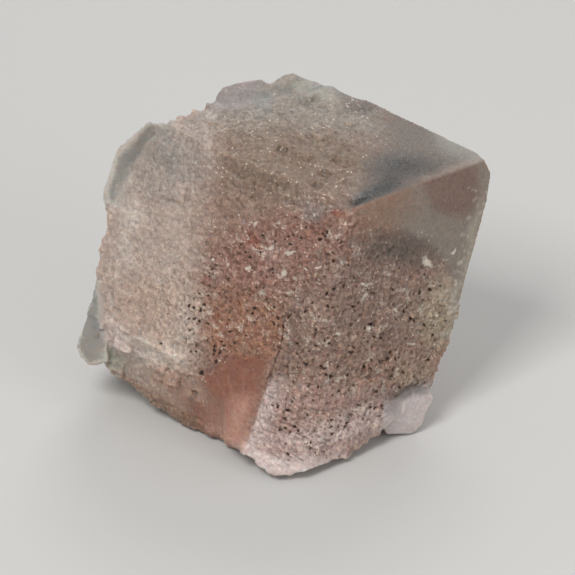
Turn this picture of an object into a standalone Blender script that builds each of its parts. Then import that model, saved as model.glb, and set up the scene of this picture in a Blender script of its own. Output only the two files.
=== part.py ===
"""Fluorite specimen: two intergrown cube-like crystals with smaller ones, all one solid body.

The broad rough front of the cluster leans back. Every place on it is given in that leaning frame,
in millimetres: across it to the right, up along it, and out from it towards its viewer. The cluster
stands on the flat patch of its underside, at z = 0.
"""

import math
import random

import bmesh
import bpy
from mathutils import Matrix, Vector

MM = 0.001
SAME_PLACE = 1e-6  # corners nearer to one another than this are one corner, m
BIG_BLOCK = 0.09  # a cube larger than the cluster, to start crystals and the floor's cut from, m
LEAN = math.radians(30.0)  # how far the broad front leans back from upright
FLOOR = -16.2  # height of the worn standing patch below the leaning frame's origin, mm
MIDDLE = (-0.482, 10.475)  # the cluster's middle, to the right of and behind that origin, mm
RIM_TAPER = math.tan(math.radians(16.0))  # how fast the hidden sides draw in behind the front's rim
INSIDE = Vector((0.0, -1.0, -12.0))  # a place well inside every crystal of the cluster

# Small growth blocks on the rough front and along the ragged stretches of the rim. Lengths in mm.
FRONT_BLOCKS = 330  # places tried, of which some are left bare
FRONT_SPAN = (-13.5, 12.0), (-13.0, 13.0)  # the places tried, across and up
FRONT_BLOCK = (0.7, 1.7)
FRONT_BLOCK_SUNK = 0.6  # share of its edge that a block's middle lies below the front
BARE_TOP, BARE_BELOW = 0.65, 0.3  # share left bare in the calmer top part and below it
CALM_TOP = 5.0  # the top part starts here
BLOCK_MARGIN = 0.8  # least distance from the rim
RIM_BLOCK = (0.5, 1.0)
RIM_SPACING = 0.8
RIM_BLOCK_SUNK = (0.42, 0.12)  # share of its edge, and length, that a block's middle lies inside the rim
STRETCH = (0.75, 1.3)  # how unequal a block's three edges may be
FRONT_JITTER, RIM_JITTER, PIT_JITTER = 0.12, 0.2, 0.5  # greatest turn away from the cube edges, radians
BLOCK_SEED, PIT_SEED = 11, 23

# Etch pits, cut by small cubes.
PIT_TRIES = 2600
PIT_SPAN = (-11.0, 11.0), (-12.5, 10.5)  # the places tried, across and up
PIT_DEPTH = (0.28, 0.62)
PIT_WIDTH = 1.5  # cutter edge over depth
PIT_LIFT = 0.25  # share of the depth that a cutter's middle stands out of the front
PIT_GAP = 0.95
PIT_MARGIN = 1.3
FEW_BELOW, FEW_TOP = 0.25, 0.8  # share of the pits left out below and above the line that follows
PITS_THIN_OUT = 3.0

SEAM = ((1.1, 0.9), (0.2, -1.5), (-0.2, -3.4), (-0.6, -5.2), (-1.5, -7.4), (-2.3, -9.9), (-3.2, -12.4))
SEAM_WIDTH = (0.07, 0.2)  # half the seam's width at its ends, and what is added in the middle, mm
SEAM_DEPTH = 1.4  # depth over half width
ABOVE_FRONT = 0.5  # how far the seam cutter starts above the front, mm

# Edge directions of the cube-like crystals, in the leaning frame.
EDGE_RIGHT = Vector((0.604, 0.196, -0.772))
EDGE_LEFT = Vector((-0.769, 0.395, -0.501))
EDGE_DOWN = Vector((-0.207, -0.897, -0.390))

# The corner where the ridge, the two smooth faces and the rough faces meet, and the ridge's far end.
NEAR_CORNER = (4.2, 4.6, 0.0)
RIGHT_CORNER = (13.2, 7.9, -8.1)

RIGHT_FACES = {
    "smooth upper": (NEAR_CORNER, RIGHT_CORNER, (4.4, 12.5, -8.0)),
    "smooth right": (NEAR_CORNER, RIGHT_CORNER, (11.8, -2.4, -8.1)),
    "lower right": (NEAR_CORNER, (3.3, -14.0, -9.4), (8.6, -11.1, -13.0)),
    "lower front": (NEAR_CORNER, (-0.7, -13.9, -7.0), (3.8, -13.9, -7.45)),
    "seam side": (NEAR_CORNER, (-0.5, -13.9, -6.7), (-3.3, -12.0, -8.1)),
    "upper left": ((4.2, 4.6, -0.4), (4.2, 12.3, -8.1), (-9.8, 10.7, -5.7)),
}
RIGHT_RIM = (
    ((4.3, 12.8, -8.3), (13.1, 8.65, -8.8)),
    ((13.1, 8.65, -8.8), (14.15, 7.2, -9.1)),
    ((14.15, 7.3, -9.1), (11.8, -2.4, -11.3)),
    ((11.8, -2.4, -11.3), (9.9, -8.0, -12.6)),
    ((9.9, -8.0, -12.6), (4.7, -12.3, -9.8)),
    ((4.6, -12.3, -9.7), (-0.7, -14.0, -7.0)),
    ((-0.7, -14.0, -7.0), (-3.4, -12.3, -8.1)),
)
LEFT_FACES = {
    "broad": ((2.8, 3.9, -1.1), (-3.3, -12.0, -8.1), (-9.8, 10.7, -5.0)),
    "shoulder": (NEAR_CORNER, (4.2, 12.3, -7.7), (-9.8, 10.7, -5.0)),
    "flank": ((-5.4, 11.3, -2.7), (-6.8, -7.6, -8.5), (-13.0, 1.8, -11.0)),
    "window": ((-7.0, -6.5, -8.7), (-1.9, -5.7, -5.8), (-3.3, -12.1, -9.6)),
    "broken": ((-12.9, -3.4, -12.2), (-7.2, -6.5, -9.0), (-6.8, -11.0, -13.5)),
}
LEFT_RIM = (
    ((0.4, 14.3, -9.5), (-7.0, 11.3, -6.0)),
    ((-7.0, 11.3, -6.0), (-9.3, 10.6, -6.1)),
    ((-9.3, 10.6, -6.1), (-12.5, 4.9, -10.0)),
    ((-12.5, 4.9, -10.0), (-14.2, -3.2, -13.3)),
    ((-14.2, -3.2, -13.3), (-13.3, -6.1, -15.0)),
    ((-13.0, -6.3, -15.4), (-7.6, -10.35, -14.0)),
    ((-7.6, -10.35, -14.0), (-3.4, -12.1, -10.6)),
    ((0.4, 14.35, -9.6), (2.9, 13.7, -9.0)),
    ((2.9, 13.7, -9.0), (4.3, 12.2, -7.6)),
)
UNDER_RIGHT = 0.35  # how far the left crystal's hidden faces lie under the right crystal's
RIM_STEP = 0.4  # how far each crystal ends inside the other's rim where they share a side
BACK_STEP = 0.7  # the right crystal ends this far short of the left one's back faces
RIGHT_REACH = -4.6  # the right crystal's left end, hidden inside the left crystal

# The smooth faces lie right of a place and above a line that falls from there, this near to the right corner.
SMOOTH_LINE = (4.6, 3.4, 0.55)
SMOOTH_REACH = 10.5
WINDOW_BOX = (-6.4, -11.0), (-2.2, -6.6)

# The faces that close both crystals behind and below, each a place and the cube edge it looks along.
BACK_FACES = (
    ((6.5, 2.0, -18.5), EDGE_RIGHT),
    ((-10.5, 2.5, -17.5), EDGE_LEFT),
    ((-7.7, -11.3, -14.0), EDGE_DOWN),
    ((-2.0, 3.0, -21.5), Vector((0.05, 0.25, -1.0))),
)

OUTLINE = LEFT_RIM[:8] + RIGHT_RIM

# Growth steps on the two big back faces: which face, shift along its other edges, width, how proud.
BACK_TERRACES = (
    (0, (0.4, 4.4), 4.6, 0.35), (0, (2.6, 0.6), 3.0, 0.6), (0, (-1.3, 7.0), 2.6, 0.55),
    (0, (0.0, -5.0), 4.2, -0.35), (1, (1.9, 1.4), 4.6, 0.35), (1, (2.6, 5.6), 2.4, 0.6),
    (1, (0.4, -1.2), 2.2, 0.5),
)

# Corners of the clear shards, the worn knob and the small corner crystal, which all reach back.
UPPER_SHARD = (
    (-8.3, 10.3, -7.0), (-9.85, 10.9, -7.4), (-12.1, 9.0, -9.2), (-13.2, 5.75, -10.8),
    (-12.8, 3.6, -11.0), (-8.5, 5.0, -8.0),
)
LOWER_SHARD = (
    (-15.1, -4.9, -13.9), (-14.9, -5.6, -14.1), (-14.25, -6.3, -14.2), (-12.8, -6.1, -13.6),
    (-13.2, -1.0, -12.2), (-14.2, -2.6, -12.9),
)
TOP_KNOB = (
    (-5.3, 11.2, -6.6), (-5.25, 12.6, -7.4), (-4.7, 13.3, -7.9), (-3.4, 13.75, -8.2), (-1.9, 13.95, -8.6),
    (-1.3, 13.3, -8.5), (-2.4, 11.6, -6.7),
)
CORNER_CRYSTAL = (
    (6.6, -8.9, -10.2), (9.7, -7.6, -11.4), (10.1, -8.6, -12.2), (9.15, -10.7, -12.8),
    (8.65, -11.15, -12.9), (6.85, -11.15, -12.1), (6.4, -10.2, -11.2),
)
# How each of them runs backwards, and how much narrower it ends.
SMALL_CRYSTALS = {
    "upper_shard": (UPPER_SHARD, (1.9, -1.8, -4.0), 0.6),
    "lower_shard": (LOWER_SHARD, (1.1, 0.3, -3.5), 0.7),
    "corner_crystal": (CORNER_CRYSTAL, (-1.2, 1.4, -4.0), 0.85),
    "top_knob": (TOP_KNOB, (0.3, -1.2, -2.6), 0.8),
}


def place(where):
    """World position of a place (across, up, out) of the leaning frame, in metres."""
    across, up, out = where
    back = up * math.sin(LEAN) - out * math.cos(LEAN)
    height = up * math.cos(LEAN) + out * math.sin(LEAN)
    return Vector((across - MIDDLE[0], back - MIDDLE[1], height - FLOOR)) * MM


def turned(direction):
    """World direction of a direction of the leaning frame."""
    return (place(direction) - place((0.0, 0.0, 0.0))).normalized()


def outward(point, normal):
    """The plane with its normal turned away from the cluster's inside."""
    if (point - INSIDE).dot(normal) < 0:
        normal = -normal
    return point, normal.normalized()


def face_plane(corners):
    first, second, third = (Vector(corner) for corner in corners)
    return outward(first, (second - first).cross(third - first))


def rim_plane(ends):
    """The hidden side that starts at a stretch of the front's rim and draws in behind it."""
    first, second = (Vector(end) for end in ends)
    along = second - first
    sideways = Vector((along.y, -along.x, 0.0)).normalized()
    if sideways.dot(first - INSIDE) < 0:
        sideways = -sideways
    return outward(first, along.cross(-RIM_TAPER * sideways - Vector((0.0, 0.0, 1.0))))


def moved_in(plane, depth):
    point, normal = plane
    return point - depth * normal, normal


RIGHT_PLANES = [face_plane(corners) for corners in RIGHT_FACES.values()]
UNDER_PLANES = [moved_in(plane, UNDER_RIGHT) for plane in RIGHT_PLANES[:4]]
LEFT_PLANES = [face_plane(corners) for corners in LEFT_FACES.values()]
BACK_PLANES = [outward(Vector(point), direction) for point, direction in BACK_FACES]


def new_object(name, mesh_tool, collection):
    mesh = bpy.data.meshes.new(name)
    mesh_tool.normal_update()
    mesh_tool.to_mesh(mesh)
    mesh_tool.free()
    made = bpy.data.objects.new(name, mesh)
    collection.objects.link(made)
    return made


def add_helper(name, mesh_tool):
    made = new_object(name, mesh_tool, helpers)
    made.hide_render = True
    made.display_type = "WIRE"
    return made


def cut_crystal(name, planes):
    """A big block cut down to the space behind every plane."""
    shape = bmesh.new()
    bmesh.ops.create_cube(shape, size=BIG_BLOCK)
    for point, normal in planes:
        everything = shape.verts[:] + shape.edges[:] + shape.faces[:]
        where = {"plane_co": place(point), "plane_no": turned(normal), "dist": SAME_PLACE / 10}
        cut = bmesh.ops.bisect_plane(shape, geom=everything, clear_outer=True, **where)
        border = [item for item in cut["geom_cut"] if isinstance(item, bmesh.types.BMEdge)]
        if border:
            bmesh.ops.edgenet_fill(shape, edges=border)
    bmesh.ops.remove_doubles(shape, verts=shape.verts, dist=SAME_PLACE)
    bmesh.ops.recalc_face_normals(shape, faces=shape.faces)
    return add_helper(name, shape)


def add_hull(name, corners, backwards, shrink):
    """The convex body of a ring of corners and the same ring moved backwards and drawn together."""
    shape = bmesh.new()
    middle = sum((Vector(corner) for corner in corners), Vector()) / len(corners)
    for corner in corners:
        behind = middle + (Vector(corner) - middle) * shrink + Vector(backwards)
        shape.verts.new(place(corner))
        shape.verts.new(place(behind))
    hull = bmesh.ops.convex_hull(shape, input=shape.verts)
    spare = [item for item in hull["geom_interior"] if isinstance(item, bmesh.types.BMVert)]
    bmesh.ops.delete(shape, geom=spare, context="VERTS")
    bmesh.ops.recalc_face_normals(shape, faces=shape.faces)
    return add_helper(name, shape)


def join(body, other, operation):
    """A Boolean with another body; blocks and pits may overlap one another, so theirs allow for that."""
    modifier = body.modifiers.new(f"{operation.lower()} {other.name}", "BOOLEAN")
    modifier.operation = operation
    modifier.solver = "EXACT"
    modifier.use_self = other.name in ("growth_blocks", "pit_cutters")
    modifier.object = other


def depth_of(planes, across, up):
    """How far out the front of a crystal lies at (across, up)."""
    return min(
        point.z - ((across - point.x) * normal.x + (up - point.y) * normal.y) / normal.z
        for point, normal in planes
        if normal.z > 0
    )


def is_within(rim, across, up, margin):
    """True where (across, up) lies inside a crystal's rim by the margin."""
    for ends in rim:
        first, second = (Vector(end[:2]) for end in ends)
        along = second - first
        sideways = Vector((along.y, -along.x)).normalized()
        if sideways.dot(first - INSIDE.xy) < 0:
            sideways = -sideways
        if (Vector((across, up)) - first).dot(sideways) > -margin:
            return False
    return True


def front_at(across, up):
    """Place on the cluster's front at (across, up)."""
    out = depth_of(LEFT_PLANES + UNDER_PLANES, across, up)
    if across > RIGHT_REACH and is_within(RIGHT_RIM, across, up, 0.0):
        out = max(out, depth_of(RIGHT_PLANES, across, up))
    return Vector((across, up, out))


def is_rough(across, up):
    """False on the smooth faces by the right corner and near the smooth window at the lower left."""
    start, height, fall = SMOOTH_LINE
    from_corner = Vector((across, up)) - Vector(RIGHT_CORNER[:2])
    above_line = across > start and up > height - fall * (across - start)
    low, high = WINDOW_BOX
    in_window = low[0] < across < high[0] and low[1] < up < high[1]
    return not (in_window or above_line and from_corner.length < SMOOTH_REACH)


def block_turn(dice, jitter):
    """World rotation of a small block that follows the cube edges with a little disorder."""
    frame = Matrix([turned(edge) for edge in (EDGE_RIGHT, EDGE_LEFT, EDGE_DOWN)]).transposed()
    columns = frame.to_quaternion().to_matrix()
    wobble = Matrix.Rotation(dice.uniform(-jitter, jitter), 3, Vector([dice.uniform(-1, 1) for _ in "xyz"]))
    return wobble @ columns


def add_block(shape, dice, centre, edge, jitter):
    turn = block_turn(dice, jitter).to_4x4()
    stretch = Matrix.Diagonal([edge * dice.uniform(*STRETCH) for _ in "xyz"] + [1.0])
    bmesh.ops.create_cube(shape, size=MM, matrix=Matrix.Translation(place(centre)) @ turn @ stretch)


def add_front_blocks(shape, dice):
    """Small cubes half sunk in the rough front. Returns the places they cover, each with its reach."""
    covered = []
    for _ in range(FRONT_BLOCKS):
        across, up = (dice.uniform(*span) for span in FRONT_SPAN)
        bare = dice.random() < (BARE_TOP if up > CALM_TOP else BARE_BELOW)
        if bare or not is_within(OUTLINE, across, up, BLOCK_MARGIN) or not is_rough(across, up):
            continue
        edge = dice.uniform(*FRONT_BLOCK)
        centre = front_at(across, up) - Vector((0.0, 0.0, FRONT_BLOCK_SUNK * edge))
        add_block(shape, dice, centre, edge, FRONT_JITTER)
        covered.append((Vector((across, up)), edge + PIT_DEPTH[1]))
    return covered


def add_rim_blocks(shape, dice):
    """Smaller cubes along the ragged stretches of the rim, and the places they cover."""
    covered = []
    for ends in LEFT_RIM[:2] + LEFT_RIM[3:7] + RIGHT_RIM[3:7]:
        first, second = (Vector(end) for end in ends)
        for step in range(int((second - first).length / RIM_SPACING)):
            along = (step + dice.random()) * RIM_SPACING / (second - first).length
            edge = dice.uniform(*RIM_BLOCK)
            share, length = RIM_BLOCK_SUNK
            inward = (INSIDE - first).normalized() * (share * edge + length)
            centre = first.lerp(second, min(along, 1.0)) + inward
            add_block(shape, dice, centre, edge, RIM_JITTER)
            covered.append((centre.xy, edge + PIT_DEPTH[1]))
    return covered


def add_terraces(shape, dice):
    """Broad growth steps on the hidden back faces."""
    for face, (shift, drop), width, proud in BACK_TERRACES:
        point, normal = BACK_PLANES[face]
        beside = EDGE_LEFT if face == 0 else EDGE_RIGHT
        centre = point + shift * beside + drop * EDGE_DOWN - (width / 2 - proud) * normal
        turn = block_turn(dice, 0.0).to_4x4()
        bmesh.ops.create_cube(shape, size=width * MM, matrix=Matrix.Translation(place(centre)) @ turn)


def add_growth_blocks():
    dice = random.Random(BLOCK_SEED)
    shape = bmesh.new()
    covered = add_front_blocks(shape, dice) + add_rim_blocks(shape, dice)
    add_terraces(shape, dice)
    return add_helper("growth_blocks", shape), covered


def add_pit_cutters(covered):
    """Corner-down cubes that leave three-sided etch pits beside the blocks, most on the lower half."""
    dice = random.Random(PIT_SEED)
    shape = bmesh.new()
    made = []
    for _ in range(PIT_TRIES):
        across, up = (dice.uniform(*span) for span in PIT_SPAN)
        if not is_within(OUTLINE, across, up, PIT_MARGIN) or not is_rough(across, up):
            continue
        here = Vector((across, up))
        crowded = any((here - other).length < PIT_GAP for other in made)
        crowded = crowded or any((here - other).length < reach for other, reach in covered)
        left_out = dice.random() < (FEW_BELOW if up < PITS_THIN_OUT else FEW_TOP)
        if crowded or left_out:
            continue
        made.append(here)
        depth = dice.uniform(*PIT_DEPTH)
        turn = block_turn(dice, PIT_JITTER).to_4x4()
        centre = front_at(across, up) + Vector((0.0, 0.0, PIT_LIFT * depth))
        size = PIT_WIDTH * depth * MM
        bmesh.ops.create_cube(shape, size=size, matrix=Matrix.Translation(place(centre)) @ turn)
    return add_helper("pit_cutters", shape)


def add_seam_cutter():
    """A thin wedge along the seam between the two crystals, deepest in the middle of its run."""
    shape = bmesh.new()
    rings = []
    for step, (across, up) in enumerate(SEAM):
        width = SEAM_WIDTH[0] + SEAM_WIDTH[1] * math.sin(math.pi * (step + 0.5) / len(SEAM))
        top = front_at(across, up)
        corners = ((-width, ABOVE_FRONT), (width, ABOVE_FRONT), (0.0, -SEAM_DEPTH * width))
        rings.append([shape.verts.new(place(top + Vector((side, 0.0, out)))) for side, out in corners])
    for here, following in zip(rings, rings[1:]):
        for corner in range(3):
            after = (corner + 1) % 3
            sides = [here[corner], here[after], following[after], following[corner]]
            bmesh.ops.contextual_create(shape, geom=sides)
    bmesh.ops.contextual_create(shape, geom=rings[0])
    bmesh.ops.contextual_create(shape, geom=rings[-1])
    bmesh.ops.recalc_face_normals(shape, faces=shape.faces)
    return add_helper("seam_cutter", shape)


def add_floor_cutter():
    """Everything below the standing patch."""
    shape = bmesh.new()
    below = Matrix.Translation((0.0, 0.0, -BIG_BLOCK / 2))
    bmesh.ops.create_cube(shape, size=BIG_BLOCK, matrix=below)
    return add_helper("floor_cutter", shape)


def add_material():
    material = bpy.data.materials.new("pink_fluorite")
    material.use_nodes = True
    surface = material.node_tree.nodes["Principled BSDF"]
    surface.inputs["Base Color"].default_value = (0.52, 0.33, 0.27, 1.0)
    surface.inputs["Roughness"].default_value = 0.45
    surface.inputs["Metallic"].default_value = 0.0
    surface.inputs["IOR"].default_value = 1.434
    return material


for old in list(bpy.data.objects):
    bpy.data.objects.remove(old, do_unlink=True)
specimen = bpy.data.collections.new("fluorite_specimen")
helpers = bpy.data.collections.new("cutters_and_blocks")
for made_collection in (specimen, helpers):
    bpy.context.scene.collection.children.link(made_collection)

left_rim = [rim_plane(ends) for ends in LEFT_RIM]
right_rim = [rim_plane(ends) for ends in RIGHT_RIM]
left_shared = [moved_in(plane, RIM_STEP) for plane in right_rim[2:6]]
left_crystal = cut_crystal("left_crystal", LEFT_PLANES + UNDER_PLANES + left_rim + left_shared + BACK_PLANES)
right_shared = [moved_in(left_rim[0], RIM_STEP), (Vector((RIGHT_REACH, 0.0, 0.0)), Vector((-1.0, 0.0, 0.0)))]
right_back = [moved_in(plane, BACK_STEP) for plane in BACK_PLANES]
right_crystal = cut_crystal("right_crystal", RIGHT_PLANES + right_rim + right_shared + right_back)
growth_blocks, covered_places = add_growth_blocks()
small_crystals = [add_hull(name, *form) for name, form in SMALL_CRYSTALS.items()]

cluster = new_object("fluorite_crystals", bmesh.new(), specimen)
cluster.data = left_crystal.data.copy()
cluster.data.name = "fluorite_crystals"
cluster.data.materials.append(add_material())
for addition in (right_crystal, *small_crystals, growth_blocks):
    join(cluster, addition, "UNION")
for cutter in (add_pit_cutters(covered_places), add_seam_cutter(), add_floor_cutter()):
    join(cluster, cutter, "DIFFERENCE")
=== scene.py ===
# %% [markdown]
# # A piece of pink fluorite
#
# The real thing is about three centimetres across: two cube-like crystals that grew into each other, with a few
# small ones at the rim. One broad front leans back and is rough with tiny growth steps and etch pits. Two faces
# by the right corner are smooth, with a sharp ridge between them.
#
# The solid cluster comes ready made in model.glb, so this lesson is about skin and substance: how to give a
# plain solid the relief of a grown crystal, how to paint it softly with named colours, and how to build one
# stone material that is milky in the middle and clear at its tips.

import math
import random

import bmesh
import bpy
import numpy as np
from mathutils import Matrix, Vector, kdtree, noise
from mathutils.bvhtree import BVHTree


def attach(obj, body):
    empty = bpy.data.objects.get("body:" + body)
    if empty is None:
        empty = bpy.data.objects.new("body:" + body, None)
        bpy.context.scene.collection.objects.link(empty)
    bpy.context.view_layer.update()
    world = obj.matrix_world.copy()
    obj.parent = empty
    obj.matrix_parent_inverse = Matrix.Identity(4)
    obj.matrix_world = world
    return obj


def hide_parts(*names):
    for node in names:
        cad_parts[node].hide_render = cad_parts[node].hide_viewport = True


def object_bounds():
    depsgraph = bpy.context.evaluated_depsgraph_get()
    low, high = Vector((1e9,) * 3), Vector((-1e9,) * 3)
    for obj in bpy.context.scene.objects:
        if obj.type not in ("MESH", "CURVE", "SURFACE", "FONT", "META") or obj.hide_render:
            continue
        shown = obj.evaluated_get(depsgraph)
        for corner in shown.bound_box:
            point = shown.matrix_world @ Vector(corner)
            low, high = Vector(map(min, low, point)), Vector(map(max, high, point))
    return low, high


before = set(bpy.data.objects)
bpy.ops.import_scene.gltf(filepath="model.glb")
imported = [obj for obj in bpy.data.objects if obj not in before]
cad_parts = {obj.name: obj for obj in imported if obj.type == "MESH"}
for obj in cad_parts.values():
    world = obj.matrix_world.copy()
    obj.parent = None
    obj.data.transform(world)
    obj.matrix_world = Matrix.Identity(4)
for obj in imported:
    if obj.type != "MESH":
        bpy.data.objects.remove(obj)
solid_box = [list(corner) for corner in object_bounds()]
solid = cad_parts["fluorite_crystals"]
print("solid cluster:", len(solid.data.polygons), "triangles")

# %% [markdown]
# ## The leaning frame
#
# Everything on the broad front is easier to place in a frame that leans with it: so many millimetres across to
# the right, so many up along the front, and so many out from it. Three rows of numbers turn one frame into the
# other, and they work on a whole table of points at once.

# %% Turn world places into the leaning frame
MM = 0.001
LEAN = math.radians(30.0)
MIDDLE = (-0.482, 10.475)
FLOOR = -16.2

ACROSS = np.array((1.0, 0.0, 0.0))
UP = np.array((0.0, math.sin(LEAN), math.cos(LEAN)))
OUT = np.array((0.0, -math.cos(LEAN), math.sin(LEAN)))
LEANING_ORIGIN = np.array((-MIDDLE[0], -MIDDLE[1], -FLOOR))


def leaning(points):
    """World points in metres, as millimetres across, up and out."""
    return (points / MM - LEANING_ORIGIN) @ np.stack((ACROSS, UP, OUT)).T


def world_place(across, up, out):
    """The world place of one leaning place, in metres."""
    return Vector((LEANING_ORIGIN + across * ACROSS + up * UP + out * OUT) * MM)


print("front middle stands at", [round(value, 4) for value in world_place(0, 0, -4)])

# %% [markdown]
# ## An even skin
#
# The solid has few, long triangles, and relief needs many small even ones. A voxel Remesh lays a grid of equal
# quads over the whole surface. It rounds each edge by about one voxel, so the smooth faces are pulled back onto
# the solid later. A copy is merged first, because the triangles in model.glb are loose.

# %% Merge a copy and remesh it
SKIN_STEP = 0.12 * MM

merged = bmesh.new()
merged.from_mesh(solid.data)
bmesh.ops.remove_doubles(merged, verts=merged.verts, dist=1e-7)
solid_skin = BVHTree.FromBMesh(merged)
copy_mesh = bpy.data.meshes.new("fluorite_cluster")
merged.to_mesh(copy_mesh)
merged.free()


def placed(name, data):
    """An object of that name in the scene."""
    made = bpy.data.objects.new(name, data)
    bpy.context.scene.collection.objects.link(made)
    return made


def apply_modifiers(piece):
    """Make what the modifiers show the piece's own mesh."""
    shown = piece.evaluated_get(bpy.context.evaluated_depsgraph_get())
    finished = bpy.data.meshes.new_from_object(shown)
    piece.modifiers.clear()
    piece.data = finished


cluster = placed("fluorite_cluster", copy_mesh)
even = cluster.modifiers.new("even skin", "REMESH")
even.mode = "VOXEL"
even.voxel_size = SKIN_STEP
apply_modifiers(cluster)
print("even skin:", len(cluster.data.vertices), "points")


# %% Read and write the skin's points as tables
def points_of(mesh):
    """The places of a mesh's points, one row each."""
    table = np.empty(len(mesh.vertices) * 3, np.float32)
    mesh.vertices.foreach_get("co", table)
    return table.reshape(-1, 3).astype(float)


def normals_of(mesh):
    """The way each point of a mesh faces."""
    table = np.empty(len(mesh.vertices) * 3, np.float32)
    mesh.vertex_normals.foreach_get("vector", table)
    return table.reshape(-1, 3).astype(float)


def set_points(mesh, table):
    mesh.vertices.foreach_set("co", table.astype(np.float32).ravel())
    mesh.update()


points = points_of(cluster.data)
normals = normals_of(cluster.data)
print("box in mm:", (points.min(0) / MM).round(2), (points.max(0) / MM).round(2))

# %% [markdown]
# ## Soft shapes to paint with
#
# A mineral has no hard paint edges. Three soft stencils do all the marking here: a turned ellipse, a patch with
# straight sides, and a streak along a bent line. Each gives every point a number from 0 to 1. The places given
# to them are first pushed about by a little noise, so that no border is a clean curve. Blender seeds this noise
# by the clock, so it gets a seed of its own first: then each run makes the same stone.


# %% Three soft stencils
def fade(value):
    """0 below 0, 1 above 1, and a smooth change between."""
    value = np.clip(value, 0.0, 1.0)
    return value * value * (3.0 - 2.0 * value)


def spot(front, centre, radii, turn=0.0, soft=0.5):
    """A turned ellipse, soft over that share of its radius."""
    side, rise = (front - np.array(centre)).T
    cos, sin = math.cos(math.radians(turn)), math.sin(math.radians(turn))
    reach = np.hypot((side * cos + rise * sin) / radii[0], (rise * cos - side * sin) / radii[1])
    return fade((1.0 + soft - reach) / (2.0 * soft))


def gap_to_path(front, path):
    """Distance in mm to a bent line."""
    nearest = np.full(len(front), 1e9)
    for start, end in zip(path, path[1:]):
        start, along = np.array(start), np.array(end) - np.array(start)
        share = np.clip((front - start) @ along / (along @ along), 0.0, 1.0)
        nearest = np.minimum(nearest, np.linalg.norm(front - start - share[:, None] * along, axis=1))
    return nearest


def streak(front, path, width, soft=0.3):
    """A bent line of that width with soft sides."""
    return fade((width / 2 + soft - gap_to_path(front, path)) / (2 * soft))


def patch(front, corners, soft=0.5):
    """A straight-sided patch with a soft border."""
    across, up = front.T
    within = np.zeros(len(front), bool)
    for (x1, y1), (x2, y2) in zip(corners, corners[1:] + corners[:1]):
        if y1 != y2:
            crosses = (y1 > up) != (y2 > up)
            within ^= crosses & (across < (x2 - x1) * (up - y1) / (y2 - y1) + x1)
    gap = gap_to_path(front, corners + corners[:1])
    return fade(0.5 + np.where(within, gap, -gap) / (2 * soft))


def pushed_about(front, size, length, seed):
    """The front's places moved by smooth noise, so that a border wanders."""
    moved = np.array([
        noise.noise_vector(Vector((across / length, up / length, seed)))[:2] for across, up in front
    ])
    return front + size * moved


def facing_front(normals):
    """1 where the skin looks out of the front, 0 on the sides, back and underside."""
    return fade(0.5 + (normals @ OUT) / 0.5)


NOISE_SEED = 1795473294

noise.seed_set(NOISE_SEED)
place_on_front = leaning(points)
front = pushed_about(place_on_front[:, :2], 0.45, 1.6, 3.0)
print("stencils ready for", len(front), "points")

# %% [markdown]
# ## Where the crystal is smooth
#
# The two faces by the right corner, a window at the lower left, the clear shards and the small corner crystal
# are smooth, and the knobs on top, the foot and the ground beside the window nearly so. The rest of the front is
# rough. The hidden sides are broken and stepped, less finely than the front. One table of patches says where the
# smooth places are, because both the relief and the material need to know.

# %% Smooth and rough places
SMOOTH_CORNER = [
    (5.0, 14.0), (6.2, 9.8), (5.4, 7.2), (3.9, 4.8), (6.0, 3.9), (8.0, 3.1), (10.0, 2.4), (11.3, 0.8),
    (12.0, -2.2), (14.0, -2.6), (17.0, 7.0), (15.0, 11.0), (6.0, 16.0),
]
WINDOW = [(-5.6, -7.4), (-3.9, -6.0), (-1.5, -5.4), (-2.1, -8.4), (-3.2, -12.0), (-5.9, -10.2)]
UPPER_SHARD = [
    (-13.4, 5.2), (-12.7, 7.9), (-11.4, 9.7), (-9.6, 11.0), (-8.5, 10.6), (-10.0, 9.0), (-11.2, 7.6), (-12.2, 5.0),
]
LOWER_SHARD = [
    (-13.9, -0.6), (-15.4, -5.0), (-14.4, -6.7), (-12.9, -6.2), (-13.0, -4.6), (-13.6, -2.9), (-13.3, -0.6),
]
CORNER_CRYSTAL = [(6.6, -9.1), (8.0, -8.2), (9.9, -7.4), (10.5, -8.6), (9.3, -11.6), (6.6, -11.4)]
KNOBS = [
    (-5.8, 11.5), (-5.3, 13.6), (-1.0, 15.0), (4.4, 14.8), (5.2, 12.4), (3.4, 11.9), (1.6, 12.6), (-1.0, 12.4),
    (-2.6, 11.6),
]
BESIDE_WINDOW = [(-5.4, -7.6), (-5.4, -10.6), (-6.8, -9.9), (-8.4, -8.7), (-7.4, -7.9)]
FOOT = [
    (-3.3, -11.8), (-2.2, -11.4), (-1.4, -12.4), (1.0, -12.7), (3.6, -12.0), (4.6, -12.6), (1.0, -15.0),
    (-3.0, -14.0),
]
# How smooth each place is, its corners, and how soft its border is in mm.
SMOOTH_PLACES = (
    (1.0, SMOOTH_CORNER, 1.3), (1.0, WINDOW, 0.5), (1.0, UPPER_SHARD, 0.3), (1.0, LOWER_SHARD, 0.3),
    (1.0, CORNER_CRYSTAL, 0.3), (0.75, KNOBS, 0.5), (0.7, FOOT, 0.6), (0.65, BESIDE_WINDOW, 0.5),
)


def smoothness(front, facing):
    """1 on the smooth faces of the front, 0 where it is rough."""
    smooth = np.zeros(len(front))
    for share, corners, soft in SMOOTH_PLACES:
        smooth = np.maximum(smooth, share * patch(front, corners, soft))
    return smooth * facing


facing = facing_front(normals)
smooth = smoothness(front, facing)
corner_side = patch(front, SMOOTH_CORNER, 1.1) * fade((place_on_front[:, 2] + 15.0) / 4.0) * (1.0 - facing)
smooth = np.maximum(smooth, corner_side)
print("smooth share of the front:", round(float(smooth.sum() / facing.sum()), 2))

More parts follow.
